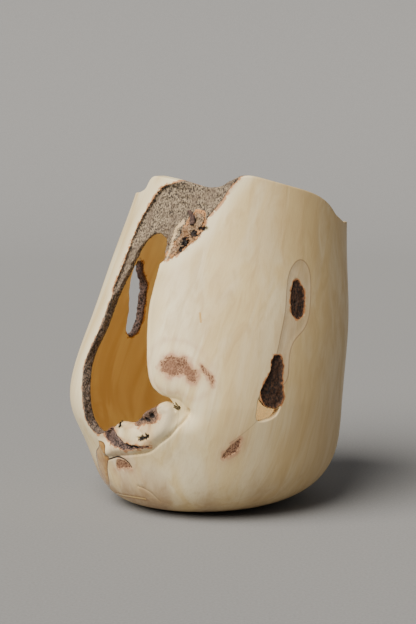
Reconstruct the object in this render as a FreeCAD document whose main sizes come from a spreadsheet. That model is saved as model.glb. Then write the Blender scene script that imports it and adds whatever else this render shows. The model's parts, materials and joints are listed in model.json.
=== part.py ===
import FreeCAD, Part
import Sketcher
import math
import os

# A hollow vessel turned from one leaning log, about 200 mm tall.  The wall is pierced
# by the log's own bark-edged voids, and the bark, dead knots and resin that sit in it
# are pieces of their own, met face to face by the wood.
#
# Frame: millimetres, +Z up, origin on the table under the middle of the vessel,
# the big opening to the front (-Y) and left (-X).

Vector = FreeCAD.Vector
doc = FreeCAD.newDocument("log_vessel")

# ---------------------------------------------------------------- driving dimensions

DIMENSIONS = {
    # the wall
    "wall_gauge": 6.0,         # thickness of the turned wall
    "base_gauge": 10.0,        # thickness of the floor
    "lean_start": 70.0,        # height where the log begins to lean back
    "lean_slope": 0.060,       # backward lean above that height
    # the middle of the log, which every void and inlay points away from
    "pith_x": 5.0,
    "pith_y": 3.0,
    "reach": 110.0,            # from the pith to well outside the wall
    # depths under the turned surface
    "saddle_depth": 2.0,       # the bark saddle lies this far below the turned surface
    "bark_gauge": 2.4,         # thickness of the bark in the saddle
    "inlay_depth": 3.2,        # depth of the shallow bark inclusions
    "thread_depth": 1.2,       # depth of the hairline resin
    # direction that each feature faces, in degrees from the front towards the left
    "opening_turn": 50.0,
    "saddle_turn": 28.0,
    "slot_turn": 130.0,
    "resin_turn": 62.0,
    "foot_turn": 45.0,
    "knot_turn": -36.0,
    "plug_turn": -26.0,
    "front_turn": -8.0,
    "crescent_turn": 9.0,
    "thread_turn": 48.0,
    # the rim
    "rim_split": 8.0,          # the raised front rim ends this far in front of the middle
    "back_fall": 0.08,         # slope of the back rim, down towards the back
    "trim_top": 240.0,
    "trim_reach": 130.0,
    # the dead twig in the saddle
    "twig_radius": 1.7,
    "twig_tip_radius": 1.3,
    "twig_length": 8.5,
    "twig_height": 171.0,
    "twig_offset": 13.4,       # across, from the pith
    "twig_seat": 54.2,         # outward, from the pith
}

# Sections of the log: height, middle of the section in X, radius.  The last one is past
# the rim, which is trimmed to its own line.
STATIONS = [
    (0.0, -8.0, 28.0),
    (2.0, -5.0, 45.0),
    (6.0, -2.0, 56.0),
    (13.0, 0.5, 65.0),
    (24.0, 2.3, 71.8),
    (40.0, 1.6, 77.2),
    (58.0, -1.2, 81.5),
    (80.0, 0.5, 81.5),
    (110.0, 6.8, 77.2),
    (145.0, 12.5, 70.5),
    (180.0, 19.0, 64.0),
    (215.0, 25.0, 59.0),
]

LETTERS = "abcdefghijkl"     # one for each station

# The twig stub's direction, for each step up.
TWIG_ACROSS = -0.32
TWIG_OUTWARD = -0.12

# The hollow starts on the floor with a rounded corner and then follows the wall.
FIRST_WALL_STATION = 5
HOLLOW_FLOOR_INSET = 20.0
HOLLOW_CORNER_INSET = 9.5
HOLLOW_CORNER_RISE = 6.0

sheet = doc.addObject("Spreadsheet::Sheet", "Dims")


def add_dimension(row, alias, value):
    sheet.set("A%d" % row, alias)
    sheet.set("B%d" % row, "%.4f" % value)
    sheet.setAlias("B%d" % row, alias)


def fill_sheet():
    row = 1
    for alias, value in DIMENSIONS.items():
        add_dimension(row, alias, value)
        row += 1
    for number, (height, middle, radius) in enumerate(STATIONS):
        add_dimension(row, "height_%s" % LETTERS[number], height)
        add_dimension(row + 1, "middle_%s" % LETTERS[number], middle)
        add_dimension(row + 2, "radius_%s" % LETTERS[number], radius)
        row += 3


fill_sheet()
doc.recompute()


def lean_at(number):
    """Expression for how far back a station's middle lies."""
    height = "Dims.height_%s" % LETTERS[number]
    return "max(0; %s - Dims.lean_start) * Dims.lean_slope" % height


# ------------------------------------------------------------------- log-shaped forms

def plane_of(body, role):
    for feature in body.Origin.OriginFeatures:
        if feature.Role == role:
            return feature
    raise ValueError(role)


def add_section(body, number, tag, inset, height=None):
    """A circle across the log at a station, smaller than the turned surface by inset."""
    letter = LETTERS[number]
    sketch = body.newObject("Sketcher::SketchObject", "%s_section_%s" % (tag, letter))
    sketch.AttachmentSupport = [(plane_of(body, "XY_Plane"), "")]
    sketch.MapMode = "FlatFace"
    height_text = height or "Dims.height_%s" % letter
    sketch.setExpression("AttachmentOffset.Base.x", "Dims.middle_%s" % letter)
    sketch.setExpression("AttachmentOffset.Base.y", lean_at(number))
    sketch.setExpression("AttachmentOffset.Base.z", height_text)
    sketch.addGeometry(Part.Circle(Vector(0, 0, 0), Vector(0, 0, 1), STATIONS[number][2]))
    sketch.addConstraint(Sketcher.Constraint("Coincident", 0, 3, -1, 1))
    sketch.addConstraint(Sketcher.Constraint("Radius", 0, STATIONS[number][2]))
    sketch.setExpression("Constraints[1]", "Dims.radius_%s - (%s)" % (letter, inset))
    return sketch


def add_loft(body, kind, name, sections):
    loft = body.newObject("PartDesign::%s" % kind, name)
    loft.Profile = sections[0]
    loft.Sections = sections[1:]
    loft.Ruled = False
    body.Tip = loft
    return loft


def log_form(name, inset):
    """The whole log, shrunk all round by inset."""
    body = doc.addObject("PartDesign::Body", name)
    sections = [add_section(body, i, name, inset) for i in range(len(STATIONS))]
    add_loft(body, "AdditiveLoft", name + "_loft", sections)
    return body


def hollow_blank():
    """The turned vessel before its rim and voids are cut."""
    body = log_form("turned_blank", "0")
    floor = "Dims.base_gauge"
    corner = "Dims.base_gauge + %.1f" % HOLLOW_CORNER_RISE
    sections = [
        add_section(body, 3, "floor", "%.1f" % HOLLOW_FLOOR_INSET, floor),
        add_section(body, 4, "corner", "%.1f" % HOLLOW_CORNER_INSET, corner),
    ]
    for number in range(FIRST_WALL_STATION, len(STATIONS)):
        sections.append(add_section(body, number, "hollow", "Dims.wall_gauge"))
    add_loft(body, "SubtractiveLoft", "hollow_loft", sections)
    return body


# ---------------------------------------------------------- outlines cut from the pith

def smooth_loop(points):
    curve = Part.BSplineCurve()
    curve.interpolate([Vector(across, up, 0) for across, up in points], PeriodicFlag=True)
    return [curve]


def straight_loop(points):
    corners = [Vector(across, up, 0) for across, up in points]
    return [Part.LineSegment(a, b) for a, b in zip(corners, corners[1:] + corners[:1])]


def radial_tool(name, turn, points, smooth=True):
    """A prism from the pith outward, whose outline is drawn across and up."""
    sketch = doc.addObject("Sketcher::SketchObject", name + "_outline")
    sketch.addGeometry(smooth_loop(points) if smooth else straight_loop(points))
    sketch.setExpression(
        "Placement",
        "placement(vector(Dims.pith_x; Dims.pith_y; 0); rotation(-Dims.%s; 0; 90))" % turn)
    prism = doc.addObject("Part::Extrusion", name)
    prism.Base = sketch
    prism.DirMode = "Normal"
    prism.Solid = True
    prism.setExpression("LengthFwd", "Dims.reach")
    return prism


def union(name, shapes):
    fuse = doc.addObject("Part::MultiFuse", name)
    fuse.Shapes = shapes
    return fuse


def common(name, base, tool):
    result = doc.addObject("Part::Common", name)
    result.Base = base
    result.Tool = tool
    return result


def cut(name, base, tool):
    result = doc.addObject("Part::Cut", name)
    result.Base = base
    result.Tool = tool
    return result


# --------------------------------------------------------------------- the turned wall

# The rim from the front, left to right: a step up, the dip over the bark saddle,
# the high front, a long fall to the right and a second step.
RIM_STEP_LEFT = [(-100, 186), (-42, 186)]
RIM_CURVE = [
    (-42, 186), (-37.5, 188.6), (-35, 193), (-32.5, 196.2), (-28, 196.6), (-12, 194), (3, 191.8),
    (9, 193.8), (16, 197.5), (22, 198.6), (30, 197.4), (47, 192.6), (64, 186),
    (70, 181), (74, 175),
]
RIM_STEP_RIGHT = [(74, 175), (80, 169), (100, 167)]
BACK_RIM = [(-100, 186), (-42, 186), (77, 172), (80, 169), (100, 167)]


def rim_sketch(name, edges, left, right):
    """Everything above the rim, drawn on the upright plane that faces the front."""
    top = DIMENSIONS["trim_top"]
    sketch = doc.addObject("Sketcher::SketchObject", name)
    sketch.Placement = FreeCAD.Placement(Vector(), FreeCAD.Rotation(0, 0, 90))
    corners = [Vector(*right, 0), Vector(right[0], top, 0), Vector(left[0], top, 0),
               Vector(*left, 0)]
    lid = [Part.LineSegment(a, b) for a, b in zip(corners, corners[1:])]
    sketch.addGeometry(edges + lid)
    return sketch


def line_run(points):
    corners = [Vector(x, z, 0) for x, z in points]
    return [Part.LineSegment(a, b) for a, b in zip(corners, corners[1:])]


def front_trim():
    wave = Part.BSplineCurve()
    wave.interpolate([Vector(x, z, 0) for x, z in RIM_CURVE])
    edges = line_run(RIM_STEP_LEFT) + [wave] + line_run(RIM_STEP_RIGHT)
    sketch = rim_sketch("front_rim_line", edges, RIM_STEP_LEFT[0], RIM_STEP_RIGHT[-1])
    sketch.setExpression("Placement.Base.y", "-Dims.rim_split")
    prism = doc.addObject("Part::Extrusion", "front_trim")
    prism.Base = sketch
    prism.DirMode = "Custom"
    prism.Dir = Vector(0, -1, 0)
    prism.Solid = True
    prism.setExpression("LengthFwd", "Dims.trim_reach")
    return prism


def back_trim():
    sketch = rim_sketch("back_rim_line", line_run(BACK_RIM), BACK_RIM[0], BACK_RIM[-1])
    sketch.setExpression("Placement.Base.y", "-Dims.rim_split")
    prism = doc.addObject("Part::Extrusion", "back_trim")
    prism.Base = sketch
    prism.DirMode = "Custom"
    prism.Solid = True
    prism.setExpression("Dir", "vector(0; 1; -Dims.back_fall)")
    prism.setExpression("LengthFwd", "Dims.trim_reach")
    return prism


blank = hollow_blank()
front_trimmed = cut("front_trimmed", blank, front_trim())
wall = cut("trimmed_wall", front_trimmed, back_trim())
saddle_floor_form = log_form("saddle_floor_form", "Dims.saddle_depth")
saddle_bed_form = log_form("saddle_bed_form", "Dims.saddle_depth + Dims.bark_gauge")
inlay_form = log_form("inlay_form", "Dims.inlay_depth")
thread_form = log_form("thread_form", "Dims.thread_depth")

# --------------------------------------------------------------------- voids and inlays
# Every outline is across (to the right as one looks at the wall) and up, from the
# foot of the pith, and runs round anticlockwise from its lower left.

OPENING = [
    (-13.5, 54), (-8, 50.3), (0, 50.6), (3.5, 53), (10.5, 54.3), (16.5, 58), (26, 58.8),
    (33, 66), (39, 69.7), (43, 72.6), (47, 70.8), (50, 67.6), (47, 74), (42.5, 75.4),
    (38, 77.5), (34, 81.5), (29.5, 91), (25, 105), (21.5, 118), (20, 130), (20, 148),
    (18.5, 157), (14, 163.5), (7, 164), (1, 160), (-3, 154), (-5.5, 147), (-8, 140),
    (-11.5, 133), (-13.6, 127), (-15.2, 120.5), (-17, 109), (-20, 101), (-23.4, 91.5),
    (-23.6, 85), (-21, 77), (-17.8, 69), (-15.6, 60),
]

# The band of bark that lines the left side of the opening, down to the resin.
BARK_BAND = [
    (-11.5, 42.5), (-7.5, 41.2), (-2.5, 43.4), (0.6, 47.4), (3, 53.5), (2, 62), (-8, 74),
    (-12, 90), (-7, 112), (2, 130), (7, 150), (12, 160), (9, 172), (1, 178), (-5, 176),
    (-8.5, 170.5), (-11, 160), (-12.8, 151), (-16, 136.5), (-16.2, 127), (-17.6, 120.5),
    (-19.4, 109), (-22.4, 101), (-26, 91.5), (-26.2, 84), (-23.4, 76), (-20, 68),
    (-18, 59), (-16.6, 50),
]

# The saddle of bark between the rim and the top of the opening.
SADDLE = [
    (-38.4, 129), (-32, 128), (-24, 140), (-8, 147), (0, 149.5), (7, 153.7), (11.4, 157),
    (15.4, 161), (20, 165.8), (23, 175), (29, 183.5), (32.5, 190.5), (38, 198), (40, 206),
    (28, 209), (14, 206), (5, 196.5), (-1, 194), (-9.4, 192), (-14.4, 188), (-18, 183.5),
    (-22.4, 177), (-26.4, 170.5), (-29, 164.5), (-31, 157.5), (-33.6, 149), (-37, 139),
]

# The thick rough crust at the saddle's lower right.
CRUST = [
    (0, 151.5), (6.4, 154.4), (11, 157.6), (14.8, 161.2), (18.8, 165.6), (21, 170),
    (22, 174.5), (18.8, 179), (13.7, 180.3), (10, 175.7), (7, 170), (5.4, 164.4), (2, 158.6),
]

# The fold of wood that closed over the bottom of the opening, down to its seam.
ROLL = [
    (-6, 34), (4.3, 36.8), (15, 39.2), (24, 41.2), (32, 44), (38, 48.8), (44, 53.6),
    (48.4, 59.3), (50.8, 64), (51.5, 69), (47, 73), (42, 73.6), (34, 72), (24, 64),
    (12, 60), (2, 58), (-6, 54), (-9, 44),
]

# Dark bark left on the fold, and the pitted patch above it.
SILL_BARK = [
    (0.8, 46.4), (6.7, 43.6), (12, 42.4), (21.6, 43.3), (30, 45.6), (34, 47.6), (28, 46.9),
    (21, 46.3), (16, 47.2), (12.8, 49.4), (10.4, 52), (9.6, 55), (7.8, 58), (2.6, 56.5),
]
LEDGE_PATCH = [
    (27.4, 57.6), (33.1, 58.3), (38, 60.6), (41, 63.8), (42, 67.4), (40.5, 72), (34, 70.5),
    (27, 64),
]

# The slot in the back wall, and the bark left along one side of it.
BACK_SLOT = [
    (-5, 90.6), (-1.6, 93), (0.7, 103), (3.3, 115), (6.6, 129), (4.6, 138), (1.6, 142),
    (-2.6, 134), (-8.4, 125), (-10.6, 112), (-11, 103), (-9.8, 94),
]
BACK_BARK = [
    (-9, 87), (-3, 90), (-3, 110), (-1, 128), (1, 139), (-2.6, 140), (-8.4, 132),
    (-12.6, 120), (-14.4, 106), (-13, 92),
]

# The dead knot, the pale collar of branch wood round it, and the void below it.
COLLAR = [
    (-22, 81), (-12, 82), (-8, 94), (-3.5, 106), (4, 112), (8, 118), (10.5, 128),
    (12, 139.6), (10, 148), (6, 151), (0, 148), (-4.8, 138), (-8, 122.5), (-12.5, 108.8),
    (-18, 94),
]
UPPER_KNOT = [
    (0.5, 117.5), (4.3, 120), (6.5, 128), (5.8, 136), (1.5, 140), (-2.3, 135.5),
    (-4, 127), (-3.6, 120.5),
]
LOWER_VOID = [
    (-14.6, 62.8), (-8.2, 62.4), (-3.3, 64.6), (-1, 68), (0.6, 78), (1, 89), (-0.4, 96.5),
    (-4, 93.5), (-7, 85), (-11, 79), (-14, 75), (-15, 69),
]
LOWER_PLUG = [
    (-11.6, 73.5), (-9.4, 70.6), (-5.6, 69), (-2, 69.4), (1.6, 71.5), (2, 78), (2, 89),
    (0.4, 98.6), (-3, 99), (-6, 93), (-9, 85.6), (-12.6, 79.6),
]

# Small inclusions.
FRONT_INCLUSION = [
    (-8.6, 40.8), (-3, 42.6), (-0.4, 44.2), (1.4, 47.5), (1.6, 53.2), (-3, 50),
    (-7.2, 45.4),
]
FOOT_INCLUSION = [(-4.3, 28.6), (2, 29.6), (8.1, 31.6), (6.8, 34), (2.4, 35.6), (-2.8, 34.6)]
CRESCENT_LEFT = [
    (-19, 91.4), (-15.2, 87.8), (-11, 88), (-6.8, 89), (-2.6, 85.8), (0.6, 85), (1.8, 88),
    (0, 92.4), (-3, 95.8), (-8.6, 98.4), (-14.5, 99), (-18.6, 96),
]
CRESCENT_RIGHT = [(5.3, 90.7), (8.8, 86), (10.3, 82.5), (11, 85.4), (9, 90), (3.3, 95.1)]
RESIN = [
    (-12, 12), (-9, 11.2), (-4.6, 12), (-1, 14.6), (2.4, 18), (6.2, 25), (9.8, 30),
    (12.8, 34), (14.6, 39), (15, 44.2), (11, 44.8), (7, 41), (0, 36.6), (-5, 31.5),
    (-8.5, 25), (-11.2, 18),
]
RESIN_THREAD = [(-17, 8.2), (-6, 9.4), (4, 10.5), (13, 11.3), (4, 11.8), (-6, 10.9), (-17, 9.6)]

opening_tool = radial_tool("opening_tool", "opening_turn", OPENING)
band_tool = radial_tool("band_tool", "opening_turn", BARK_BAND)
saddle_tool = radial_tool("saddle_tool", "saddle_turn", SADDLE)
crust_tool = radial_tool("crust_tool", "saddle_turn", CRUST)
roll_tool = radial_tool("roll_tool", "opening_turn", ROLL)
sill_tool = radial_tool("sill_tool", "opening_turn", SILL_BARK)
ledge_tool = radial_tool("ledge_tool", "opening_turn", LEDGE_PATCH)
slot_tool = radial_tool("slot_tool", "slot_turn", BACK_SLOT)
slot_bark_tool = radial_tool("slot_bark_tool", "slot_turn", BACK_BARK)
collar_tool = radial_tool("collar_tool", "knot_turn", COLLAR)
knot_tool = radial_tool("knot_tool", "knot_turn", UPPER_KNOT)
void_tool = radial_tool("void_tool", "plug_turn", LOWER_VOID)
plug_tool = radial_tool("plug_tool", "plug_turn", LOWER_PLUG)
front_tool = radial_tool("front_tool", "front_turn", FRONT_INCLUSION)
foot_tool = radial_tool("foot_tool", "foot_turn", FOOT_INCLUSION)
crescent_left_tool = radial_tool("crescent_left_tool", "crescent_turn", CRESCENT_LEFT)
crescent_right_tool = radial_tool("crescent_right_tool", "crescent_turn", CRESCENT_RIGHT)
resin_tool = radial_tool("resin_tool", "resin_turn", RESIN)
thread_tool = radial_tool("thread_tool", "thread_turn", RESIN_THREAD, smooth=False)

# Parts of the tools that only go part of the way into the wall.
saddle_layer = cut("saddle_layer", saddle_tool, saddle_bed_form)
saddle_skin = cut("saddle_skin", saddle_tool, saddle_floor_form)
saddle_recess = cut("saddle_recess", saddle_skin, crust_tool)
front_layer = cut("front_layer", front_tool, inlay_form)
foot_layer = cut("foot_layer", foot_tool, inlay_form)
crescent_tools = union("crescent_tools", [crescent_left_tool, crescent_right_tool])
crescent_layer = cut("crescent_layer", crescent_tools, inlay_form)
thread_layer = cut("thread_layer", thread_tool, thread_form)
open_voids = union("open_voids", [opening_tool, slot_tool, cut("void_gap", void_tool, plug_tool)])

# ------------------------------------------------------------------------------ pieces


def inlay(node, tool, *taken):
    """The part of the wall inside tool, less the voids and what other pieces take."""
    block = common(node + "_block", wall, tool)
    away = union(node + "_taken", list(taken)) if len(taken) > 1 else taken[0]
    body = cut(node + "_body", block, away)
    body.Label = node
    return body


def twig():
    """A dead twig stub that lies in the bark, pointing up and a little to the left."""
    turn = math.radians(DIMENSIONS["saddle_turn"])
    across = Vector(math.cos(turn), -math.sin(turn), 0)
    outward = Vector(-math.sin(turn), -math.cos(turn), 0)
    foot = (Vector(DIMENSIONS["pith_x"], DIMENSIONS["pith_y"], DIMENSIONS["twig_height"])
            + across * DIMENSIONS["twig_offset"] + outward * DIMENSIONS["twig_seat"])
    direction = across * TWIG_ACROSS + outward * TWIG_OUTWARD + Vector(0, 0, 1)
    stub = doc.addObject("Part::Cone", "twig_stub_cone")
    stub.setExpression("Radius1", "Dims.twig_radius")
    stub.setExpression("Radius2", "Dims.twig_tip_radius")
    stub.setExpression("Height", "Dims.twig_length")
    stub.Placement = FreeCAD.Placement(foot, FreeCAD.Rotation(Vector(0, 0, 1), direction))
    stub.Label = "twig_stub"
    return stub


twig_stub = twig()
pieces = [
    inlay("bark_edge", union("edge_tools", [band_tool, saddle_layer]),
          open_voids, saddle_recess, crust_tool, resin_tool, twig_stub),
    inlay("bark_crust", common("crust_layer", crust_tool, saddle_layer), open_voids, twig_stub),
    twig_stub,
    inlay("callus_roll", roll_tool, open_voids, band_tool, sill_tool, ledge_tool, resin_tool),
    inlay("bark_sill", sill_tool, open_voids, band_tool, resin_tool),
    inlay("bark_ledge_patch", ledge_tool, open_voids),
    inlay("knot_collar", collar_tool, knot_tool, void_tool, plug_tool),
    inlay("knot_plug_upper", knot_tool, open_voids),
    inlay("knot_plug_lower", plug_tool, open_voids),
    inlay("back_void_bark", slot_bark_tool, open_voids),
    inlay("bark_inclusion_front", front_layer, open_voids),
    inlay("bark_inclusion_foot", foot_layer, resin_tool, roll_tool),
    inlay("bark_crescent", crescent_layer, open_voids),
    inlay("resin_fill", resin_tool, open_voids),
    inlay("resin_thread", thread_layer, resin_tool),
]
vessel = cut("vessel_wood_body", wall, union("vessel_taken", [
    open_voids, band_tool, saddle_layer, roll_tool, sill_tool, ledge_tool, slot_bark_tool,
    collar_tool, knot_tool, plug_tool, front_layer, foot_layer, crescent_layer, resin_tool,
    thread_layer]))
vessel.Label = "vessel_wood"
pieces.append(vessel)
doc.recompute()

# ------------------------------------------------------------------- check and export

for item in doc.Objects:
    if "Invalid" in item.State or "Error" in item.State:
        raise RuntimeError("%s failed: %s" % (item.Label, item.State))
for piece in pieces:
    if piece.Shape.isNull() or not piece.Shape.isValid() or not piece.Shape.Solids:
        raise RuntimeError("%s has no valid solid" % piece.Label)

os.makedirs("parts", exist_ok=True)
for piece in pieces:
    piece.Shape.exportStep(os.path.join("parts", piece.Label + ".step"))
    count, volume = len(piece.Shape.Solids), piece.Shape.Volume
    print("%-22s solids %d  volume %.0f mm3" % (piece.Label, count, volume))
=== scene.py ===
import json
import math

import bpy
import numpy as np
import openvdb
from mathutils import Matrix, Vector


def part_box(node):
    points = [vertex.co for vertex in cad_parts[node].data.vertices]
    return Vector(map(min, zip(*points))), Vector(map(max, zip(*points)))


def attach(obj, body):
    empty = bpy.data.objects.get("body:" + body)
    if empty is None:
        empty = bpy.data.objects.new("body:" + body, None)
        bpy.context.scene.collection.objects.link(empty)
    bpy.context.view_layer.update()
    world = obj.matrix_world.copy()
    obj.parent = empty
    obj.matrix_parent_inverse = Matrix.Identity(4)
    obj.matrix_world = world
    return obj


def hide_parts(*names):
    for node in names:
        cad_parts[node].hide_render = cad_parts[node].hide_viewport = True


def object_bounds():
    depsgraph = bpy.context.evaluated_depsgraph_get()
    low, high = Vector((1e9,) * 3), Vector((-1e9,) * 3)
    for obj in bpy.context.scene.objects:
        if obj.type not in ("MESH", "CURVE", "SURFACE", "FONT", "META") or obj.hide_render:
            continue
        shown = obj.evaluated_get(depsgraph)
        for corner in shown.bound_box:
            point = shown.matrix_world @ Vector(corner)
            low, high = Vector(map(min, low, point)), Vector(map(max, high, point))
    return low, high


# A hollow vessel turned from one leaning log, with the log's own bark-edged voids.
#
# The whole wall is one signed distance field in millimetres: the turned form, the rim,
# the voids, the lip that curls into the opening, and every shallow recess.  Its surface
# is meshed once, refined where it is detailed, and cut along the natural boundaries, so
# each piece of bark, knot or resin meets the wood exactly edge to edge.

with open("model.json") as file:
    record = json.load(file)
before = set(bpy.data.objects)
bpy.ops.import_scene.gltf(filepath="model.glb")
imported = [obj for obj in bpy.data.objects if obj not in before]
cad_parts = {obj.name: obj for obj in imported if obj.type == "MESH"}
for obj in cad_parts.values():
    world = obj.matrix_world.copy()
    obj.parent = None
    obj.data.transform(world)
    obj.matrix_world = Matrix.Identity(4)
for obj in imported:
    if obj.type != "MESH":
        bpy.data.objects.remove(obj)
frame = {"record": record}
cad_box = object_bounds()
MM = 0.001

# ------------------------------------------------------------------ the vessel's dimensions

# Sections of the log, as the CAD model has them: height, middle in X, radius.
STATIONS = [
    (0, -8, 28), (2, -5, 45), (6, -2, 56), (13, 0.5, 65), (24, 2.3, 71.8), (40, 1.6, 77.2),
    (58, -1.2, 81.5), (80, 0.5, 81.5), (110, 6.8, 77.2), (145, 12.5, 70.5), (180, 19, 64),
    (215, 25, 59),
]
HOLLOW = [(10, 0.5, 45), (16, 2.3, 62.3)]       # the hollow's floor and rounded corner
HOLLOW_FOLLOWS = 5      # from this section up, the hollow is the log less the wall
WALL_GAUGE = 6.0
BASE_GAUGE = 10.0
LEAN_START, LEAN_SLOPE = 70.0, 0.06
PITH = (5.0, 3.0)

# The rim in front, left to right, and the line that the lower back rim falls from.
RIM_LEFT = [(-100, 186), (-42, 186)]
RIM = [
    (-42, 186), (-37.5, 188.6), (-35, 193), (-32.5, 196.2), (-28, 196.6), (-12, 194),
    (3, 191.8), (9, 193.8), (16, 197.5), (22, 198.6), (30, 197.4), (47, 192.6), (64, 186),
    (70, 181), (74, 175),
]
RIM_RIGHT = [(80, 169), (100, 167)]
BACK_RIM = [(-100, 186), (-42, 186), (77, 172), (80, 169), (100, 167)]
BACK_FALL, BACK_FALL_START = 0.08, -8
RIM_BLEND = (-14.0, -2.0)
LOG_LID, HOLLOW_LID = 216.0, 230.0      # both forms go on past the rim, which cuts them

# Outlines, across and up in millimetres, seen from outside and centred on the pith.  The
# number is the direction that the outline faces, in degrees from the front to the left.
OPENING = (50, [
    (-13.5, 54), (-8, 50.3), (0, 50.6), (3.5, 53), (10.5, 54.3), (16.5, 58), (26, 58.8),
    (33, 66), (39, 69.7), (43, 72.6), (47, 70.8), (50, 67.6), (47, 74), (42.5, 75.4),
    (38, 77.5), (34, 81.5), (29.5, 91), (25, 105), (21.5, 118), (20, 130), (20, 148),
    (18.5, 157), (14, 163.5), (7, 164), (1, 160), (-3, 154), (-5.5, 147), (-8, 140),
    (-11.5, 133), (-13.6, 127), (-15.2, 120.5), (-17, 109), (-20, 101), (-23.4, 91.5),
    (-23.6, 85), (-21, 77), (-17.8, 69), (-15.6, 60),
])
BAND = (50, [
    (-11.5, 42.5), (-7.5, 41.2), (-2.5, 43.4), (0.6, 47.4), (3, 53.5), (2, 62), (-8, 74),
    (-12, 90), (-7, 112), (2, 130), (7, 150), (12, 160), (9, 172), (1, 178), (-5, 176),
    (-8.5, 170.5), (-11, 160), (-12.8, 151), (-16, 136.5), (-16.2, 127), (-17.6, 120.5),
    (-19.4, 109), (-22.4, 101), (-26, 91.5), (-26.2, 84), (-23.4, 76), (-20, 68),
    (-18, 59), (-16.6, 50),
])
SADDLE = (28, [
    (-38.4, 129), (-32, 128), (-24, 140), (-8, 147), (0, 149.5), (7, 153.7), (11.4, 157),
    (15.4, 161), (20, 165.8), (23, 175), (29, 183.5), (32.5, 190.5), (38, 198), (40, 206),
    (28, 209), (14, 206), (5, 196.5), (-1, 194), (-9.4, 192), (-14.4, 188), (-18, 183.5),
    (-22.4, 177), (-26.4, 170.5), (-29, 164.5), (-31, 157.5), (-33.6, 149), (-37, 139),
])
CRUST = (28, [
    (0, 151.5), (6.4, 154.4), (11, 157.6), (14.8, 161.2), (18.8, 165.6), (21, 170),
    (22, 174.5), (18.8, 179), (13.7, 180.3), (10, 175.7), (7, 170), (5.4, 164.4), (2, 158.6),
])
ROLL = (50, [
    (-6, 34), (4.3, 36.8), (15, 39.2), (24, 41.2), (32, 44), (38, 48.8), (44, 53.6),
    (48.4, 59.3), (50.8, 64), (51.5, 69), (47, 73), (42, 73.6), (34, 72), (24, 64),
    (12, 60), (2, 58), (-6, 54), (-9, 44),
])
SILL_BARK = (50, [
    (0.8, 46.4), (6.7, 43.6), (12, 42.4), (21.6, 43.3), (30, 45.6), (34, 47.6), (28, 46.9),
    (21, 46.3), (16, 47.2), (12.8, 49.4), (10.4, 52), (9.6, 55), (7.8, 58), (2.6, 56.5),
])
LEDGE = (50, [
    (27.4, 57.6), (33.1, 58.3), (38, 60.6), (41, 63.8), (42, 67.4), (40.5, 72), (34, 70.5),
    (27, 64),
])
SLOT = (130, [
    (-5, 90.6), (-1.6, 93), (0.7, 103), (3.3, 115), (6.6, 129), (4.6, 138), (1.6, 142),
    (-2.6, 134), (-8.4, 125), (-10.6, 112), (-11, 103), (-9.8, 94),
])
SLOT_BARK = (130, [
    (-9, 87), (-3, 90), (-3, 110), (-1, 128), (1, 139), (-2.6, 140), (-8.4, 132),
    (-12.6, 120), (-14.4, 106), (-13, 92),
])
COLLAR = (-36, [
    (-22, 81), (-12, 82), (-8, 94), (-3.5, 106), (4, 112), (8, 118), (10.5, 128),
    (12, 139.6), (10, 148), (6, 151), (0, 148), (-4.8, 138), (-8, 122.5), (-12.5, 108.8),
    (-18, 94),
])
KNOT = (-36, [
    (0.5, 117.5), (4.3, 120), (6.5, 128), (5.8, 136), (1.5, 140), (-2.3, 135.5),
    (-4, 127), (-3.6, 120.5),
])
LOWER_VOID = (-26, [
    (-14.6, 62.8), (-8.2, 62.4), (-3.3, 64.6), (-1, 68), (0.6, 78), (1, 89), (-0.4, 96.5),
    (-4, 93.5), (-7, 85), (-11, 79), (-14, 75), (-15, 69),
])
LOWER_PLUG = (-26, [
    (-11.6, 73.5), (-9.4, 70.6), (-5.6, 69), (-2, 69.4), (1.6, 71.5), (2, 78), (2, 89),
    (0.4, 98.6), (-3, 99), (-6, 93), (-9, 85.6), (-12.6, 79.6),
])
FRONT_SCAR = (-8, [
    (-8.6, 40.8), (-3, 42.6), (-0.4, 44.2), (1.4, 47.5), (1.6, 53.2), (-3, 50),
    (-7.2, 45.4),
])
FOOT_SCAR = (45, [(-4.3, 28.6), (2, 29.6), (8.1, 31.6), (6.8, 34), (2.4, 35.6), (-2.8, 34.6)])
CRESCENT = (9, [
    (-19, 91.4), (-15.2, 87.8), (-11, 88), (-6.8, 89), (-2.6, 85.8), (0.6, 85), (1.8, 88),
    (0, 92.4), (-3, 95.8), (-8.6, 98.4), (-14.5, 99), (-18.6, 96),
])
CRESCENT_TAIL = (9, [
    (5.3, 90.7), (8.8, 86), (10.3, 82.5), (11, 85.4), (9, 90), (3.3, 95.1),
])
RESIN = (62, [
    (-12, 12), (-9, 11.2), (-4.6, 12), (-1, 14.6), (2.4, 18), (6.2, 25), (9.8, 30),
    (12.8, 34), (14.6, 39), (15, 44.2), (11, 44.8), (7, 41), (0, 36.6), (-5, 31.5),
    (-8.5, 25), (-11.2, 18),
])
ISLAND = (50, [
    (14.2, 50.6), (20.7, 49.3), (26.1, 49.7), (29.4, 51.8), (30.6, 54), (28, 55.6),
    (22.5, 54.9), (15, 52.6),
])
PALE_STREAK = (28, [(6.4, 172), (2.6, 168), (0.8, 162), (-0.4, 156), (-1.4, 150.5)])
RIM_STREAK = (28, [(31, 189.5), (35, 195), (39, 202)])
VOID_SLIT = (-26, [(-5.6, 85.5), (-6.2, 81), (-7.4, 77.5)])
THREAD = (48, [(-17, 8.9), (-6, 10.1), (4, 11.1), (13, 11.5)])
SEAM = (50, [
    (-6, 34.6), (4.3, 37), (15, 39.2), (24, 41.2), (32, 44), (38, 48.8), (44, 53.6),
    (48.4, 59.3), (50.8, 64), (51.4, 69),
])
FOOT_CRACK = (45, [
    (-11.5, 33.2), (-5.5, 35.3), (-1.6, 36.5), (4.6, 35.8), (7, 34.2), (8.1, 31.6),
])
LOW_CRACK = (35, [(-4, 19.8), (1, 18.6), (4, 16.6), (7.5, 11.2)])
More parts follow.
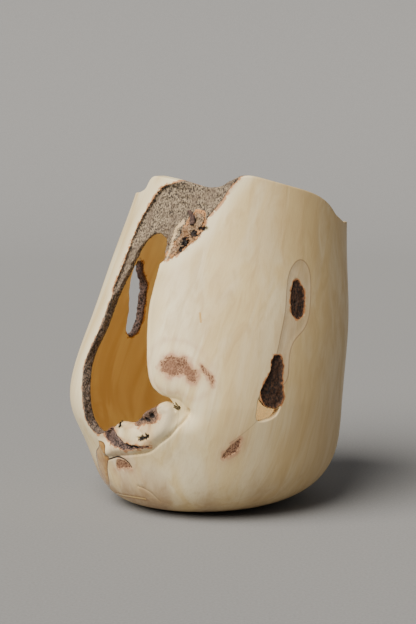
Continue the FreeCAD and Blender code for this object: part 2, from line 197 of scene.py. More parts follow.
SLIT = (7, [(-0.8, 122.9), (-0.4, 120.4), (-0.1, 118)])
SCAR_CRACK = (-26, [(-30, 50), (-25.5, 53.5), (-20, 58), (-14.4, 63)])

# Dark pits in the bark and in the fold below the opening: turn, across, up, half width,
# half height, depth.
DARK_PITS = [
    (50, 31.2, 61.7, 1.4, 1.1, 1.6), (50, 35.2, 61.5, 1.3, 1.0, 1.6),
    (50, 37.4, 64.4, 1.1, 1.5, 1.4), (50, 16.9, 56.0, 1.5, 1.0, 1.5),
    (50, 28.4, 50.5, 1.7, 1.1, 1.8), (50, 31.0, 51.6, 1.7, 1.1, 1.8),
    (50, 33.4, 53.0, 1.3, 1.1, 1.6), (50, 18.4, 45.7, 2.2, 0.9, 1.4),
    (50, 24.0, 45.7, 2.6, 0.7, 1.3), (28, 10.9, 161.6, 2.3, 2.6, 1.8),
    (28, 15.5, 166.2, 2.2, 1.7, 1.5), (28, 20.4, 169.2, 2.0, 1.1, 1.2),
    (28, 8.6, 157.2, 1.3, 2.0, 1.2), (28, 6.4, 165.6, 1.2, 1.4, 1.0),
]

# -------------------------------------------------------------------- curves and distances


def spline(points, closed, spacing=1.0):
    """Points along a cubic curve through the given ones, spaced by chord length."""
    knots = np.array(points, float)
    if closed:
        knots = np.vstack([knots[-3:], knots, knots[:3]])
    chord = np.linalg.norm(np.diff(knots, axis=0), axis=1)
    at = np.concatenate([[0], np.cumsum(chord)])
    count = len(knots)
    system = np.eye(count)
    right = np.zeros_like(knots)
    for i in range(1, count - 1):
        system[i, i - 1:i + 2] = chord[i - 1], 2 * (chord[i - 1] + chord[i]), chord[i]
        step_on = (knots[i + 1] - knots[i]) / chord[i]
        step_back = (knots[i] - knots[i - 1]) / chord[i - 1]
        right[i] = 6 * (step_on - step_back)
    bend = np.linalg.solve(system, right)
    first, last = (3, count - 3) if closed else (0, count - 1)
    total = at[last] - at[first]
    where = np.linspace(at[first], at[last], max(8, int(total / spacing)) + 1)
    if closed:
        where = where[:-1]
    i = np.clip(np.searchsorted(at, where, side="right") - 1, 0, count - 2)
    width = chord[i][:, None]
    ahead = (at[i + 1] - where)[:, None]
    behind = (where - at[i])[:, None]
    return (bend[i] * ahead ** 3 / (6 * width) + bend[i + 1] * behind ** 3 / (6 * width)
            + (knots[i] / width - bend[i] * width / 6) * ahead
            + (knots[i + 1] / width - bend[i + 1] * width / 6) * behind)


class Table:
    """Distance to a line in the plane, kept on a fine table; negative inside a loop."""

    def __init__(self, line, closed, step=0.5, margin=22.0):
        self.step = step
        self.low = line.min(0) - margin
        size = np.ceil((line.max(0) + margin - self.low) / step).astype(int) + 1
        us = self.low[0] + step * np.arange(size[0])
        vs = self.low[1] + step * np.arange(size[1])
        u, v = np.meshgrid(us, vs, indexing="ij")
        nearest = np.full(u.shape, 1e9)
        inside = np.zeros(u.shape, bool)
        ends = np.roll(line, -1, axis=0) if closed else line[1:]
        for (ax, ay), (bx, by) in zip(line, ends):
            dx, dy = bx - ax, by - ay
            t = np.clip(((u - ax) * dx + (v - ay) * dy) / (dx * dx + dy * dy), 0, 1)
            nearest = np.minimum(nearest, (u - ax - t * dx) ** 2 + (v - ay - t * dy) ** 2)
            if closed and ay != by:
                crosses = (ay > v) != (by > v)
                inside ^= crosses & (u < ax + (v - ay) * dx / dy)
        self.values = np.sqrt(nearest) * np.where(inside, -1, 1)

    def __call__(self, u, v):
        top = np.array(self.values.shape) - 1.001
        x = (u - self.low[0]) / self.step
        y = (v - self.low[1]) / self.step
        beyond = np.hypot(x - np.clip(x, 0, top[0]), y - np.clip(y, 0, top[1])) * self.step
        x = np.clip(x, 0, top[0])
        y = np.clip(y, 0, top[1])
        i, j = x.astype(int), y.astype(int)
        a, b = x - i, y - j
        v = self.values
        low = v[i, j] * (1 - a) + v[i + 1, j] * a
        high = v[i, j + 1] * (1 - a) + v[i + 1, j + 1] * a
        return low * (1 - b) + high * b + beyond


def local(p, turn):
    """Across, up and outward of points, seen from outside in the direction of turn."""
    angle = math.radians(turn)
    x, y = p[:, 0] - PITH[0], p[:, 1] - PITH[1]
    across = x * math.cos(angle) - y * math.sin(angle)
    outward = -x * math.sin(angle) - y * math.cos(angle)
    return across, p[:, 2], outward


FAR = 60.0


class Region:
    """An outline or a line on the wall, as a distance that only its own side sees.

    A ragged outline wanders by about that many millimetres.
    """

    def __init__(self, outline, closed=True, ragged=0.0):
        self.turn, points = outline
        self.table = Table(spline(points, closed), closed)
        self.ragged = ragged

    def __call__(self, p, slide=0.0):
        across, up, outward = local(p, self.turn)
        away = np.where(outward > 0, self.table(across + slide, up), FAR)
        reach = 3 + 3 * self.ragged
        near = np.abs(away) < reach
        if self.ragged and near.any():
            q = p[near]
            wander = 0.8 * MEDIUM(q, 3.4) + 0.5 * FINE(q, 1.3)
            fade = smooth_step(reach - np.abs(away[near]), 0, 2)
            away[near] += self.ragged * wander * fade
        return away


def smooth_step(value, low, high):
    t = np.clip((value - low) / (high - low), 0, 1)
    return t * t * (3 - 2 * t)


def smooth_max(a, b, blend):
    near = np.maximum(blend - np.abs(a - b), 0) / blend
    return np.maximum(a, b) + near * near * blend / 4


class Noise:
    """Smooth random values between -1 and 1, the same on every run."""

    def __init__(self, seed):
        self.lattice = np.random.default_rng(seed).uniform(-1, 1, (32, 32, 32))

    def __call__(self, p, size):
        q = p / np.asarray(size, float)
        cell = np.floor(q).astype(int)
        t = q - cell
        t = t * t * (3 - 2 * t)
        total = 0.0
        for corner in np.ndindex(2, 2, 2):
            weight = np.prod(np.where(corner, t, 1 - t), axis=1)
            i, j, k = ((cell + corner) % 32).T
            total = total + weight * self.lattice[i, j, k]
        return total


COARSE, MEDIUM, FINE, PITS = (Noise(seed) for seed in (11, 12, 13, 14))

# ---------------------------------------------------------------------- the turned log form

log_line = spline([(radius, height, middle) for height, middle, radius in STATIONS], False)
hollow_line = spline(
    [(radius, height, middle) for height, middle, radius in HOLLOW]
    + [(radius - WALL_GAUGE, height, middle)
       for height, middle, radius in STATIONS[HOLLOW_FOLLOWS:]],
    False)


def profile(line, floor, lid):
    """A form's outline, mirrored about its axis."""
    right = np.vstack([line[:, :2], [(line[-1, 0], lid)]])
    left = right[::-1] * (-1, 1)
    return Table(np.vstack([[(0, floor)], right, left]), True)


outer_form = profile(log_line, 0.0, LOG_LID)
inner_form = profile(hollow_line, BASE_GAUGE, HOLLOW_LID)
rim_line = np.vstack([RIM_LEFT, spline(RIM, False), RIM_RIGHT])
RAGGED = {"crust": 1.5, "crescent": 1.3, "crescent_tail": 0.7, "front_scar": 0.5,
          "foot_scar": 0.3, "sill": 0.8, "ledge": 0.7, "knot": 0.5, "plug": 0.6,
          "saddle": 0.3, "band": 0.5, "slot_bark": 0.6, "island": 0.6}
regions = {name: Region(outline, True, RAGGED.get(name, 0.0)) for name, outline in {
    "opening": OPENING, "band": BAND, "saddle": SADDLE, "crust": CRUST, "roll": ROLL,
    "sill": SILL_BARK, "ledge": LEDGE, "slot": SLOT, "slot_bark": SLOT_BARK,
    "collar": COLLAR, "knot": KNOT, "void": LOWER_VOID, "plug": LOWER_PLUG,
    "front_scar": FRONT_SCAR, "foot_scar": FOOT_SCAR, "crescent": CRESCENT,
    "crescent_tail": CRESCENT_TAIL, "resin": RESIN, "island": ISLAND}.items()}
lines = {name: Region(line, False) for name, line in {
    "thread": THREAD, "seam": SEAM, "foot_crack": FOOT_CRACK, "low_crack": LOW_CRACK,
    "slit": SLIT, "scar_crack": SCAR_CRACK, "pale_streak": PALE_STREAK,
    "rim_streak": RIM_STREAK, "void_slit": VOID_SLIT}.items()}


def from_middle(p):
    """Offsets from the middle of the log at each point's height."""
    middle = np.interp(p[:, 2], log_line[:, 1], log_line[:, 2])
    lean = np.maximum(p[:, 2] - LEAN_START, 0) * LEAN_SLOPE
    return p[:, 0] - middle, p[:, 1] - lean


def rim_height(p):
    """Height of the rim in each point's direction from the middle of the log."""
    dx, dy = from_middle(p)
    reach = np.maximum(np.hypot(dx, dy), 1.0)
    radius = np.interp(p[:, 2], log_line[:, 1], log_line[:, 0])
    x = p[:, 0] - dx + dx / reach * radius
    y = p[:, 1] - dy + dy / reach * radius
    front = np.interp(x, rim_line[:, 0], rim_line[:, 1])
    back = np.interp(x, *zip(*BACK_RIM)) - BACK_FALL * np.maximum(y - BACK_FALL_START, 0)
    return front + (back - front) * smooth_step(y, *RIM_BLEND)


# ------------------------------------------------------------------------ the wall's relief

RIM_EASE = 0.8
LIP_REACH = 13.0
LIP_SLIDE = 1.19        # how far across a point of the lip moves for each step inward
LIP_MIDDLE = ((50, 70, 100, 150, 166), (-5, -4, 2, 8, 15))
LIP_SINK = ((40, 58, 76, 100, 165), (6.5, 6.0, 4.0, 3.5, 3.0))


def lip_sink(p):
    """How far the wall curls into the log at the opening's right side and bottom."""
    across, up, _ = local(p, OPENING[0])
    away = regions["opening"](p)
    side = smooth_step(across - np.interp(up, *LIP_MIDDLE), -3, 5)
    curl = (1 - np.clip(away / LIP_REACH, 0, 1)) ** 2
    return np.where(away < LIP_REACH, np.interp(up, *LIP_SINK) * curl * side, 0.0)


def pit_depth(p, slide):
    """Depth of the dark pits."""
    depth = np.zeros(len(p))
    for turn, across, up, half_width, half_height, deep in DARK_PITS:
        u, v, outward = local(p, turn)
        off = ((u + slide - across) / half_width) ** 2 + ((v - up) / half_height) ** 2
        near = (off < 6) & (outward > 0)
        ragged = off[near] + 0.9 * FINE(p[near], 1.1) + 0.6 * MEDIUM(p[near], 0.6)
        depth[near] = np.maximum(depth[near], deep * np.exp(-np.maximum(ragged, 0) ** 2))
    return depth


def recess(p, slide):
    """Depth of everything that is sunk below the turned surface; raised where negative."""
    saddle = regions["saddle"](p)
    across, _, _ = local(p, SADDLE[0])
    soft = 1.2 + 4.5 * smooth_step(across, -12, 14)
    depth = 2.2 * smooth_step(-saddle, 0, soft) + 1.2 * smooth_step(-saddle, 2, 14)
    crust = regions["crust"](p)
    depth -= 1.8 * smooth_step(-crust, -0.5, 3.5)
    roll = regions["roll"](p, slide)
    sill = regions["sill"](p, slide)
    depth -= 1.3 * smooth_step(-roll, 0, 3.5) * smooth_step(roll, -9, -4)
    depth += 1.0 * smooth_step(-sill, -0.2, 1.2)
    depth += 0.8 * smooth_step(-regions["ledge"](p, slide), 0, 1.5)
    depth += 0.9 * np.exp(-(lines["seam"](p) / 0.8) ** 2)
    for name, deep, low, high in (
            ("knot", 0.7, -0.3, 1.2), ("collar", 0.25, -0.5, 2.5), ("plug", 1.6, 0, 2.0),
            ("front_scar", 0.5, -0.2, 1.2), ("foot_scar", 0.6, -0.2, 1.2),
            ("crescent", 0.4, -0.2, 1.5), ("crescent_tail", 0.3, -0.2, 0.8)):
        depth += deep * smooth_step(-regions[name](p), low, high)
    depth += 0.7 * np.exp(-(lines["foot_crack"](p) / 0.6) ** 2)
    depth += 0.35 * np.exp(-(lines["low_crack"](p) / 0.6) ** 2)
    depth -= 0.5 * smooth_step(-regions["resin"](p), 0, 3)
    return depth + pit_depth(p, slide)


def open_space(p, slide):
    """Distance to the voids through the wall; negative inside one."""
    edge_wander = 0.5 * MEDIUM(p, 4.0)
    opening = regions["opening"](p, slide) + 0.25 * edge_wander
    slot = regions["slot"](p) + edge_wander
    gap = np.maximum(regions["void"](p), -regions["plug"](p) + 0.4) + 0.5 * edge_wander
    return opening, slot, gap


def wall(p):
    """Signed distance to the vessel's surface; negative in the wood."""
    dx, dy = from_middle(p)
    sink = lip_sink(p)
    slide = LIP_SLIDE * sink
    reach = np.hypot(dx, dy) + sink
    height = p[:, 2]
    outer = outer_form(reach, height) + recess(p, slide)
    inner = inner_form(reach, height)
    shell = np.maximum(outer, -inner)
    shell = smooth_max(shell, height - rim_height(p), RIM_EASE)
    opening, slot, gap = open_space(p, slide)
    across, _, _ = local(p, OPENING[0])
    round_lip = 0.8 + 0.9 * np.minimum(sink, 4.0) * smooth_step(-across, -46, -36)
    shell = smooth_max(shell, -opening, round_lip)
    shell = smooth_max(shell, -slot, 1.0)
    return smooth_max(shell, -gap, 0.8)


def wall_normal(p):
    nudge = 0.35
    slope = np.empty_like(p)
    for axis in range(3):
        step = np.zeros(3)
        step[axis] = nudge
        slope[:, axis] = wall(p + step) - wall(p - step)
    return slope / np.maximum(np.linalg.norm(slope, axis=1), 1e-9)[:, None]


def settle(p, rounds=2):
    """Moves points onto the surface."""
    for _ in range(rounds):
        away = wall(p)
        normal = wall_normal(p)
        p = p - normal * np.clip(away, -1.5, 1.5)[:, None]
    return p


# ------------------------------------------------------------------------- triangle surfaces


NEAR_WALL = 13.0       # nothing on the wall is moved further than this
GRID_LOW, GRID_HIGH = (-90.0, -88.0, -4.0), (90.0, 88.0, 204.0)
BATCHES = 8            # the field is worked out in parts, to save memory


def mesh_field(cell):
    """Meshes the wall on an even grid and returns its points and outward triangles."""
    low, high = np.array(GRID_LOW), np.array(GRID_HIGH)
    counts = np.ceil((high - low) / cell).astype(int) + 1
    axes = [low[a] + cell * np.arange(counts[a]) for a in range(3)]
    points = np.stack(np.meshgrid(*axes, indexing="ij"), axis=-1).reshape(-1, 3)
    dx, dy = from_middle(points)
    reach = np.hypot(dx, dy)
    values = np.maximum(outer_form(reach, points[:, 2]), -inner_form(reach, points[:, 2]))
    close = np.flatnonzero(values < NEAR_WALL)
    for part in np.array_split(close, BATCHES):
        values[part] = wall(points[part])
    grid = openvdb.FloatGrid()
    grid.background = 3 * cell
    band = np.clip(values, -3 * cell, 3 * cell).reshape(counts).astype(np.float32)
    grid.copyFromArray(band)
    found, _, quads = grid.convertToPolygons(isovalue=0.0, adaptivity=0.0)
    quads = quads.astype(int)
    triangles = np.vstack([quads[:, [0, 1, 2]], quads[:, [0, 2, 3]]])
    points = settle(low + cell * found.astype(float))
    side = np.cross(points[triangles[:, 1]] - points[triangles[:, 0]],
                    points[triangles[:, 2]] - points[triangles[:, 0]])
    volume = (side * points[triangles[:, 0]]).sum()
    return points, triangles if volume > 0 else triangles[:, ::-1]


TOO_LONG = 1.35        # an edge this many times its wanted length is split
ON_BOUNDARY = 0.04     # points this near a boundary count as on it


def edge_list(triangles):
    """Unique edges, and for each triangle the numbers of its three edges."""
    pairs = np.sort(np.concatenate([triangles[:, [0, 1]], triangles[:, [1, 2]],
                                    triangles[:, [2, 0]]]), axis=1)
    edges, number = np.unique(pairs, axis=0, return_inverse=True)
    return edges, number.reshape(3, -1).T


def split_edges(triangles, edge_of, new_point):
    """Splits triangles at the edges that have a new point (a number, or -1)."""
    mid = new_point[edge_of]
    done = [triangles[(mid < 0).all(axis=1)]]
    marked = mid >= 0
    count = marked.sum(axis=1)
    for first in range(3):
        order = [(first + k) % 3 for k in range(3)]
        a, b, c = (triangles[:, k] for k in order)
        ab, bc, ca = (mid[:, k] for k in order)
        on_ab, on_bc, _ = (marked[:, k] for k in order)
        one = (count == 1) & on_ab
        done += [np.stack(t, axis=1)[one] for t in ((a, ab, c), (ab, b, c))]
        two = (count == 2) & on_ab & on_bc
        done += [np.stack(t, axis=1)[two] for t in ((ab, b, bc), (a, ab, bc), (a, bc, c))]
        if first == 0:
            three = count == 3
            corners = ((a, ab, ca), (ab, b, bc), (ca, bc, c), (ab, bc, ca))
            done += [np.stack(t, axis=1)[three] for t in corners]
    return np.vstack(done)


def refine(points, triangles, wanted):
    """One round of splitting every edge that is too much longer than wanted where it lies."""
    edges, edge_of = edge_list(triangles)
    a, b = points[edges[:, 0]], points[edges[:, 1]]
    middle = (a + b) / 2
    long = np.linalg.norm(a - b, axis=1) > TOO_LONG * wanted(middle)
    new_point = np.full(len(edges), -1)
    new_point[long] = len(points) + np.arange(long.sum())
    points = np.vstack([points, settle(middle[long], 1)])
    return points, split_edges(triangles, edge_of, new_point)


def cut_along(points, triangles, values):
    """Splits the surface exactly where values change sign."""
    values = np.where(np.abs(values) < ON_BOUNDARY, 0.0, values)
    edges, edge_of = edge_list(triangles)
    a, b = values[edges[:, 0]], values[edges[:, 1]]
    crosses = a * b < 0
    share = (a[crosses] / (a[crosses] - b[crosses]))[:, None]
    start, end = points[edges[crosses, 0]], points[edges[crosses, 1]]
    new_point = np.full(len(edges), -1)
    new_point[crosses] = len(points) + np.arange(crosses.sum())
    points = np.vstack([points, start + (end - start) * share])
    return points, split_edges(triangles, edge_of, new_point)


# ----------------------------------------------------------------- where each piece begins


def under_skin(p):
    """How far points lie under the turned surface, following the curled lip."""
    dx, dy = from_middle(p)
    return -outer_form(np.hypot(dx, dy) + lip_sink(p), p[:, 2])


SKIN = 4.8          # an inlay is seen on the outside down to this depth in the wall
BARK_LIP = 0.9      # bark shows this far round the edge of the opening
SLOT_BARK_LIP = 1.4
THREAD_HALF_WIDTH = 0.55


def on_skin(p, name):
    slide = LIP_SLIDE * lip_sink(p)
    return np.maximum(regions[name](p, slide), under_skin(p) - SKIN)


def in_bark(p):
    opening, _, _ = open_space(p, LIP_SLIDE * lip_sink(p))
    band = np.maximum(regions["band"](p), opening - BARK_LIP)
    return np.minimum(on_skin(p, "saddle"), band)


def in_slot_bark(p):
    _, slot, _ = open_space(p, 0.0)
    return np.maximum(regions["slot_bark"](p), slot - SLOT_BARK_LIP)


def in_thread(p):
    return np.maximum(lines["thread"](p) - THREAD_HALF_WIDTH, under_skin(p) - SKIN)


def in_crescent(p):
    return np.minimum(on_skin(p, "crescent"), on_skin(p, "crescent_tail"))


# Earlier pieces take their part of the surface first.
PIECES = {
    "bark_crust": lambda p: on_skin(p, "crust"),
    "resin_fill": lambda p: on_skin(p, "resin"),
    "bark_edge": in_bark,
    "resin_thread": in_thread,
    "bark_sill": lambda p: on_skin(p, "sill"),
    "bark_ledge_patch": lambda p: on_skin(p, "ledge"),
    "callus_roll": lambda p: on_skin(p, "roll"),
    "knot_plug_upper": lambda p: on_skin(p, "knot"),
    "knot_plug_lower": lambda p: on_skin(p, "plug"),
    "knot_collar": lambda p: on_skin(p, "collar"),
    "back_void_bark": in_slot_bark,
    "bark_inclusion_front": lambda p: on_skin(p, "front_scar"),
    "bark_inclusion_foot": lambda p: on_skin(p, "foot_scar"),
    "bark_crescent": in_crescent,
}

# ----------------------------------------------------------------------- building the wall

PLAIN_LENGTH = 2.3


def wanted_length(p):
    """How long an edge of the surface may be at each point."""
    def near(distance, reach, length):
        return np.where(np.abs(distance) < reach, length, PLAIN_LENGTH)

    outside = under_skin(p) < SKIN
    opening = regions["opening"](p)
    found = [
        near(opening, 5.0, 0.9),
        near(regions["slot"](p), 3.0, 0.8),
        near(p[:, 2] - rim_height(p), 1.3, 0.75),
        np.where(in_bark(p) < 0.3, 0.55, PLAIN_LENGTH),
        np.where((regions["crust"](p) < 0.3) & outside, 0.45, PLAIN_LENGTH),
        np.where((np.minimum(regions["roll"](p), regions["sill"](p)) < 4) & outside, 0.7,
                 PLAIN_LENGTH),
        np.where((np.minimum(regions["sill"](p), regions["ledge"](p)) < 0.5) & outside, 0.45,
                 PLAIN_LENGTH),
    ]
    for name, length in (("knot", 0.5), ("plug", 0.45), ("front_scar", 0.5),
                         ("foot_scar", 0.5), ("crescent", 0.6), ("crescent_tail", 0.5),
                         ("resin", 0.8)):
        found.append(np.where((regions[name](p) < 0.8) & outside, length, PLAIN_LENGTH))
    found.append(np.where((np.abs(regions["collar"](p)) < 1.5) & outside, 0.9, PLAIN_LENGTH))
    found.append(np.where((np.abs(regions["void"](p)) < 2.0), 0.6, PLAIN_LENGTH))
    for name in lines:
        found.append(np.where((lines[name](p) < 1.3) & outside, 0.5, PLAIN_LENGTH))
    return np.min(found, axis=0)


def build_wall():
    """The refined surface, cut along every boundary, and the piece that owns each triangle."""
    points, triangles = mesh_field(PLAIN_LENGTH)
    for _ in range(3):
        points, triangles = refine(points, triangles, wanted_length)
    points = settle(points, 1)
    for inside in PIECES.values():
        points, triangles = cut_along(points, triangles, inside(points))
    centres = points[triangles].mean(axis=1)
    owner = np.full(len(triangles), -1)
    for number, inside in enumerate(PIECES.values()):
        owner[(inside(centres) < 0) & (owner < 0)] = number
    return points, triangles, owner


INLAY_DEPTH = 1.8


def rings(triangles):
    """Directed edges that only one of the triangles has."""
    sides = np.concatenate([triangles[:, [0, 1]], triangles[:, [1, 2]], triangles[:, [2, 0]]])
    size = sides.max() + 1
    forward = sides[:, 0] * size + sides[:, 1]
    back = sides[:, 1] * size + sides[:, 0]
    return sides[~np.isin(forward, back)]


def make_object(name, points, triangles, normals, attributes, material):
    """A mesh object from numbered points; only the points that it uses are kept."""
    used, corner = np.unique(triangles, return_inverse=True)
    corner = corner.reshape(-1, 3)
    mesh = bpy.data.meshes.new(name)
    mesh.from_pydata((points[used] * MM).tolist(), [], corner.tolist())
    mesh.shade_smooth()
    for key, values in attributes.items():
        colours = values.ndim == 2
        layer = mesh.attributes.new(key, "FLOAT_COLOR" if colours else "FLOAT", "POINT")
        layer.data.foreach_set("color" if colours else "value",
                               values[used].astype(np.float32).ravel())
    if normals is not None:
        mesh.normals_split_custom_set(normals[triangles].reshape(-1, 3).tolist())
    piece = bpy.data.objects.new(name, mesh)
    bpy.context.scene.collection.objects.link(piece)
    mesh.materials.append(material)
    return piece


def close_patch(triangles, count):
    """A patch of the surface made solid: its top, its underside and its edge."""
    a, b = rings(triangles).T
    under = triangles[:, ::-1] + count
    edge_faces = np.vstack([np.stack([b, a, a + count], 1),
                            np.stack([b, a + count, b + count], 1)])
    return np.vstack([triangles, under, edge_faces])


def pocketed(triangles, inlaid, count):
    """The rest of the surface, with a pocket under the inlaid triangles."""
    a, b = rings(inlaid).T
    edge_faces = np.vstack([np.stack([a, b, b + count], 1),
                            np.stack([a, b + count, a + count], 1)])
    return np.vstack([triangles, inlaid + count, edge_faces])


# ------------------------------------------------------------------------------ materials


class Graph:
    """A short way to write a material's nodes."""

    def __init__(self, name, roughness=0.6):
        self.material = bpy.data.materials.new(name)
        self.material.use_nodes = True
        self.tree = self.material.node_tree
        self.shader = self.tree.nodes["Principled BSDF"]
        self.shader.inputs["Roughness"].default_value = roughness
        self.place = self.tree.nodes.new("ShaderNodeTexCoord").outputs["Object"]

    def link(self, source, socket):
        if isinstance(source, bpy.types.NodeSocket):
            self.tree.links.new(source, socket)
        elif isinstance(source, tuple) and socket.type == "RGBA":
            socket.default_value = (*source, 1.0)
        else:
            socket.default_value = source

    def value(self, name, output="Fac"):
        node = self.tree.nodes.new("ShaderNodeAttribute")
        node.attribute_name = name
        return node.outputs[output]

    def cells_of(self, sizes, turn=(0, 0, 0)):
        """Object coordinates counted in cells of these sizes, in mm, along turned axes."""
        node = self.tree.nodes.new("ShaderNodeMapping")
        node.vector_type = "TEXTURE"
        node.inputs["Rotation"].default_value = [math.radians(a) for a in turn]
        node.inputs["Scale"].default_value = [size * MM for size in sizes]
        self.link(self.place, node.inputs["Vector"])
        return node.outputs["Vector"]

    def noise(self, sizes, turn=(0, 0, 0), detail=3.0, roughness=0.55, distortion=0.0):
        node = self.tree.nodes.new("ShaderNodeTexNoise")
        for key, value in (("Vector", self.cells_of(sizes, turn)), ("Scale", 1.0),
                           ("Detail", detail), ("Roughness", roughness),
                           ("Distortion", distortion)):
            self.link(value, node.inputs[key])
        return node.outputs["Fac"]

    def flecks(self, sizes):
        node = self.tree.nodes.new("ShaderNodeTexVoronoi")
        self.link(self.cells_of(sizes), node.inputs["Vector"])
        node.inputs["Scale"].default_value = 1.0
        return node.outputs["Distance"]

    def step(self, source, low, high, to_low=0.0, to_high=1.0):
        node = self.tree.nodes.new("ShaderNodeMapRange")
        node.interpolation_type = "SMOOTHSTEP"
        for number, value in enumerate((source, low, high, to_low, to_high)):
            self.link(value, node.inputs[number])
        return node.outputs["Result"]

    def math(self, operation, a, b=0.0):
        node = self.tree.nodes.new("ShaderNodeMath")
        node.operation = operation
        self.link(a, node.inputs[0])
        self.link(b, node.inputs[1])
        return node.outputs[0]

    def mix(self, share, a, b):
        node = self.tree.nodes.new("ShaderNodeMix")
        node.data_type = "RGBA"
        self.link(share, node.inputs[0])
        self.link(a, node.inputs[6])
        self.link(b, node.inputs[7])
        return node.outputs[2]

    def bump(self, height, distance, strength=1.0, normal=None):
        node = self.tree.nodes.new("ShaderNodeBump")
        node.inputs["Distance"].default_value = distance * MM
        node.inputs["Strength"].default_value = strength
        self.link(height, node.inputs["Height"])
        if normal is not None:
            self.link(normal, node.inputs["Normal"])
        return node.outputs["Normal"]

    def finish(self, colour, normal=None, roughness=None):
        self.link(colour, self.shader.inputs["Base Color"])
        if normal is not None:
            self.link(normal, self.shader.inputs["Normal"])
        if roughness is not None:
            self.link(roughness, self.shader.inputs["Roughness"])
        return self.material


CREAM = (0.83, 0.65, 0.34)
PALE = (0.92, 0.80, 0.52)
TAN = (0.55, 0.37, 0.165)
OCHRE = (0.88, 0.70, 0.36)
DEEP_OCHRE = (0.76, 0.54, 0.24)
GOLD = (0.62, 0.36, 0.10)
CAMBIUM = (0.52, 0.22, 0.08)
PINK = (0.50, 0.25, 0.15)
CRACK_DARK_AND_SHADE = (0.020, 0.012, 0.010)
SCAR_LINE = (0.20, 0.10, 0.06)
LOW_STREAK = (0.42, 0.27, 0.15)
LUMP = (0.62, 0.52, 0.35)
FOLD_BROWN = (0.50, 0.29, 0.14)
THREAD_EDGE = (0.26, 0.12, 0.04)
BARE_WOOD = (0.74, 0.54, 0.31)
LOWER_TONE_DARK, LOWER_TONE_LIGHT = (0.014, 0.010, 0.011), (0.20, 0.135, 0.115)


def wood_material(name, base, streak, pale):
    """Sanded sapwood: leaning figure, stains, painted shade, and the colour it takes near bark.
    """
    g = Graph(name, 0.55)
    fibres = g.noise((1.0, 1.0, 20), (0, 12, 0), 4.0, 0.6)
    streaks = g.noise((6, 6, 70), (0, 14, 0), 3.0, 0.55, 0.9)
    bands = g.noise((22, 22, 110), (0, 18, 0), 2.0, 0.5, 1.4)
    cloud = g.noise((55, 55, 80), detail=2.0)
    colour = g.mix(g.step(bands, 0.36, 0.64), base, pale)
    streak_share = g.step(streaks, 0.45, 0.72, 0.0, 0.40)
    colour = g.mix(streak_share, colour, streak)
    colour = g.mix(g.step(cloud, 0.42, 0.62, 0.0, 0.25), colour, streak)
    colour = g.mix(g.step(fibres, 0.42, 0.78, 0.0, 0.20), colour, streak)
    # The tint carries stains, and painted shade on the right side and near the floor.
    tint_share = g.math("MULTIPLY", g.value("tint_share"), g.step(streaks, 0.2, 0.6, 0.72, 1.0))
    colour = g.mix(tint_share, colour, g.value("tint", "Color"))
    inner = g.mix(g.step(bands, 0.35, 0.65), OCHRE, DEEP_OCHRE)
    colour = g.mix(g.value("inside"), colour, inner)
    gate = g.noise((3.0, 3.0, 4.0), detail=2.0)
    bark_line = g.math("ADD", g.value("bark_gap"), g.step(gate, 0.35, 0.65, 1.2, -0.8))
    colour = g.mix(g.step(bark_line, 0.1, 1.0, 0.85, 0.0), colour, CAMBIUM)
    knot_line = g.math("ADD", g.value("knot_gap"), g.step(gate, 0.35, 0.65, 0.3, -0.5))
    colour = g.mix(g.step(knot_line, 0.0, 0.8, 0.95, 0.0), colour, CAMBIUM)
    scar_line = g.math("ADD", g.value("scar_gap"), g.step(gate, 0.35, 0.65, 0.8, -0.6))
    colour = g.mix(g.step(scar_line, 0.0, 1.6, 0.6, 0.0), colour, PINK)
    colour = g.mix(g.step(g.value("collar_gap"), 0.1, 0.55, 0.55, 0.0), colour, SCAR_LINE)
    # Near black for cracks, and painted shade in the pits, the notch and the twig's hollow tip.
    colour = g.mix(g.step(g.value("dark"), 0.15, 0.8), colour, CRACK_DARK_AND_SHADE)
    normal = g.bump(fibres, 0.10, 0.5)
    normal = g.bump(streaks, 0.5, 0.3, normal)
    return g.finish(colour, normal, g.step(streaks, 0.3, 0.7, 0.45, 0.6))


def bark_material(name, dark, light, warm, edge, edge_width, grain=0.9, lower_tone_share=0.0):
    """Speckled rough bark; edge is the colour that shows along its border."""
    g = Graph(name, 0.85)
    patches = g.noise((9, 9, 12), detail=3.0, roughness=0.6)
    grit = g.noise((grain, grain, grain * 1.5), detail=3.0, roughness=0.7)
    flecks = g.flecks((grain * 1.4, grain * 1.4, grain * 2.2))
    colour = g.mix(g.step(grit, 0.40, 0.60), dark, light)
    colour = g.mix(g.step(flecks, 0.15, 0.5, 0.5, 0.0), colour, dark)
    colour = g.mix(g.step(patches, 0.42, 0.66, 0.0, 0.55), colour, warm)
    lower_tone = g.mix(g.step(grit, 0.40, 0.64), LOWER_TONE_DARK, LOWER_TONE_LIGHT)
    ragged = g.math("ADD", g.value("rim_gap"), g.step(grit, 0.3, 0.7, edge_width, -edge_width))
    colour = g.mix(g.step(ragged, 0.0, edge_width * 1.6, 0.9, 0.0), colour, edge)
    # The bark takes a darker tone towards the bottom, fully below 95 mm.
    colour = g.mix(g.math("MULTIPLY", g.value("lower_tone"), lower_tone_share), colour, lower_tone)
    bare = g.math("ADD", g.value("bare_gap"), g.step(grit, 0.3, 0.7, 0.8, -0.8))
    colour = g.mix(g.step(bare, 0.6, 1.5, 0.9, 0.0), colour, BARE_WOOD)
    # Near black for cracks, and painted shade in the pits, the notch and the twig's hollow tip.
    colour = g.mix(g.step(g.value("dark"), 0.1, 0.75), colour, CRACK_DARK_AND_SHADE)
    return g.finish(colour, g.bump(grit, 0.5, 0.9))


